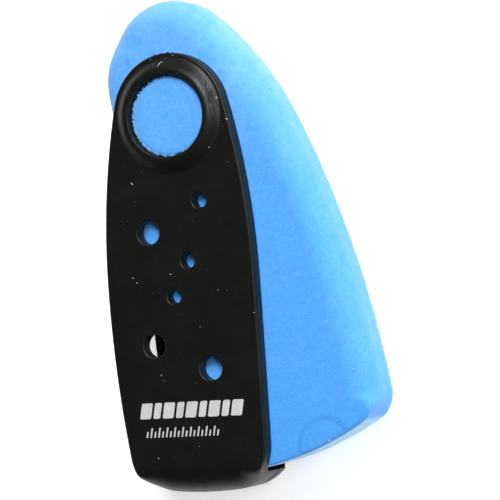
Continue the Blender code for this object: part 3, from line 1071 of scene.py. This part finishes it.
def blue_rubber(name, clear, dust_and_light):
    """Matte eraser rubber: clouds of powder, painted light and fine specks over a saturated blue.
    """
    material, nodes, shader, place = new_material(name)
    fine = nodes.noise(place, scale=1300.0, detail=5.0, roughness=0.75)
    broad = nodes.noise(place, scale=230.0, roughness=0.6)
    mottle = nodes.math("SUBTRACT", fine, 0.5)
    cloud = nodes.math("SUBTRACT", broad, 0.5)
    share = nodes.math("ADD", nodes.attribute("powder_and_light"), nodes.math("MULTIPLY", mottle, 1.5))
    share = nodes.math("ADD", share, nodes.math("MULTIPLY", cloud, 0.30))
    base = nodes.mix(nodes.band(share, low=0.0, high=1.0), clear, dust_and_light)
    for strength, colour in rubber_markings(nodes, place):
        base = nodes.mix(strength, base, colour)
    nodes.put(shader.inputs["Base Color"], base)
    rough = nodes.band(share, low=0.0, high=1.0, to_low=0.72, to_high=0.95)
    nodes.put(shader.inputs["Roughness"], rough)
    shader.inputs["Specular IOR Level"].default_value = 0.28
    shader.inputs["Sheen Weight"].default_value = 0.28
    shader.inputs["Sheen Roughness"].default_value = 0.45
    shader.inputs["Sheen Tint"].default_value = RUBBER_SHEEN
    rubbed = nodes.noise(place, scale=2400.0, detail=6.0, roughness=0.75)
    powdery = nodes.bump(nodes.math("ADD", rubbed, mottle), strength=0.5, distance=0.06 * MM)
    nodes.put(shader.inputs["Normal"], powdery)
    return material


def white_ink():
    """Pad-printed white ink with pinholes and thin spots."""
    material, nodes, shader, place = new_material("white_print_ink")
    gaps = nodes.noise(place, scale=1700.0, roughness=0.6)
    thin = nodes.band(gaps, low=0.60, high=0.74, to_high=0.75)
    tone = nodes.mix(nodes.noise(place, scale=600.0, detail=3.0), INK_DULL, INK_WHITE)
    nodes.put(shader.inputs["Base Color"], nodes.mix(thin, tone, INK_THIN))
    rough = nodes.band(thin, low=0.0, high=1.0, to_low=0.55, to_high=0.45)
    nodes.put(shader.inputs["Roughness"], rough)
    film = nodes.noise(place, scale=2600.0, detail=3.0)
    nodes.put(shader.inputs["Normal"], nodes.bump(film, strength=0.3, distance=0.02 * MM))
    return material


def pale_dust():
    """Rubber dust and paper fibre: dull white with a little blue."""
    material, nodes, shader, place = new_material("pale_dust")
    share = nodes.band(nodes.noise(place, scale=700.0, detail=3.0), low=0.35, high=0.65)
    nodes.put(shader.inputs["Base Color"], nodes.mix(share, DUST_DARK, DUST_PALE))
    rough = nodes.band(share, low=0.0, high=1.0, to_low=0.7, to_high=0.9)
    nodes.put(shader.inputs["Roughness"], rough)
    fuzz = nodes.noise(place, scale=6000.0, detail=3.0)
    nodes.put(shader.inputs["Normal"], nodes.bump(fuzz, strength=0.5, distance=0.02 * MM))
    return material


def white_table():
    """A bright sweep that glows a little, so that only contact shadows show."""
    material, nodes, shader, place = new_material("white_table")
    tone = nodes.noise(place, scale=12.0, detail=3.0)
    nodes.put(shader.inputs["Base Color"], nodes.mix(tone, TABLE_DULL, TABLE_WHITE))
    rough = nodes.band(tone, low=0.3, high=0.7, to_low=0.75, to_high=0.9)
    nodes.put(shader.inputs["Roughness"], rough)
    shader.inputs["Specular IOR Level"].default_value = 0.1
    shader.inputs["Emission Color"].default_value = TABLE_GLOW
    shader.inputs["Emission Strength"].default_value = 0.62
    return material


# ---------------------------------------------------------------- stage

def make_camera(pivot):
    target = pivot + Vector((*VIEW_CENTRE, PLATE_FACE))
    back = Vector((
        math.sin(VIEW_AZIMUTH) * math.cos(VIEW_ELEVATION),
        -math.cos(VIEW_AZIMUTH) * math.cos(VIEW_ELEVATION),
        math.sin(VIEW_ELEVATION)))
    camera = link("camera", bpy.data.cameras.new("camera"))
    camera.rotation_mode = "QUATERNION"
    camera.rotation_quaternion = Quaternion(back, VIEW_ROLL) @ back.to_track_quat("Z", "Y")
    camera.location = target + back * VIEW_DISTANCE
    camera.data.lens = LENS
    camera.data.sensor_width = SENSOR_WIDTH
    camera.data.clip_start = 0.01
    bpy.context.scene.camera = camera


def softbox(aim, name, direction, distance, size, power, colour):
    """A round soft light, that far from aim and turned towards it."""
    light = bpy.data.lights.new(name, "AREA")
    light.shape = "DISK"
    light.size = size
    light.energy = power
    light.color = colour
    lamp = link(name, light)
    towards = Vector(direction).normalized()
    lamp.location = aim + towards * distance
    lamp.rotation_mode = "QUATERNION"
    lamp.rotation_quaternion = towards.to_track_quat("Z", "Y")


def make_world():
    """A room that is bright towards +X and dark towards -X, with a low glow at its horizon."""
    world = bpy.data.worlds.new("studio")
    bpy.context.scene.world = world
    world.use_nodes = True
    nodes = Nodes(world.node_tree)
    way = nodes.add("ShaderNodeTexCoord").outputs["Generated"]
    axes = nodes.add("ShaderNodeSeparateXYZ", Vector=way).outputs
    wall = nodes.band(axes["X"], low=-0.15, high=0.60, to_low=0.04, to_high=0.50)
    wall_share = nodes.band(axes["Y"], low=-0.75, high=0.05, to_low=0.42, to_high=1.0)
    horizon = nodes.band(axes["Z"], low=0.02, high=0.15, to_low=0.30, to_high=0.0)
    room = nodes.math("MAXIMUM", nodes.math("MULTIPLY", wall, wall_share), horizon)
    low_glow = nodes.band(axes["Z"], low=0.10, high=0.42, to_low=0.12, to_high=0.0)
    near_share = nodes.band(axes["Y"], low=-0.85, high=0.10, to_low=1.0, to_high=0.15)
    glow = nodes.math("MULTIPLY", low_glow, near_share)
    background = world.node_tree.nodes["Background"]
    background.inputs["Color"].default_value = (1.0, 1.0, 1.0, 1.0)
    nodes.put(background.inputs["Strength"], nodes.math("ADD", room, glow))


def make_table():
    signs = ((-1, -1), (1, -1), (1, 1), (-1, 1))
    corners = [(x * TABLE_SPAN, y * TABLE_SPAN, 0.0) for x, y in signs]
    table = mesh_from("table", corners, [(0, 1, 2, 3)])
    table.data.materials.append(white_table())


def make_stage(pivot):
    make_table()
    make_world()
    for light in LIGHTS:
        softbox(pivot, *light)
    scene = bpy.context.scene
    scene.view_settings.view_transform = "Standard"
    scene.view_settings.look = "None"


# ---------------------------------------------------------------- assembly

def seat(piece, material, pivot, turn, body):
    """Puts a finished piece in its place on the pivot and lets it ride on its body."""
    piece.data.transform(Matrix.Translation(pivot) @ Matrix.Rotation(turn, 4, "Z"))
    piece.data.materials.clear()
    piece.data.materials.append(material)
    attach(piece, body)


def main():
    for old in list(bpy.data.objects):
        bpy.data.objects.remove(old)
    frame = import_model()
    pivot = Vector(frame["joints"][0]["pos_m"])
    make_camera(pivot)
    make_stage(pivot)

    plastic = black_plastic(pivot)
    dust = pale_dust()
    rubber = blue_rubber("blue_rubber", RUBBER_CLEAR, RUBBER_DUST_AND_LIGHT)
    # Paler loose rubber: painted light on the slivers in the bore's shade, and powder on the crumbs
    loose_rubber = blue_rubber("pale_blue_rubber", SCRAP_CLEAR, SCRAP_DUSTED)
    holder = make_holder()
    seat(holder, plastic, pivot, 0.0, "holder")
    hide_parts("holder")
    seat(make_parting_line(), plastic, pivot, 0.0, "holder")
    seat(make_holder_dust(), dust, pivot, 0.0, "holder")
    seat(make_printed_mark(), white_ink(), pivot, 0.0, "holder")

    block = make_rubber()
    seat(block, rubber, pivot, SWING, "eraser")
    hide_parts("eraser_block")
    seat(make_boss_fray(), loose_rubber, pivot, SWING, "eraser")
    seat(make_rubber_crumbs(), loose_rubber, pivot, SWING, "eraser")


main()
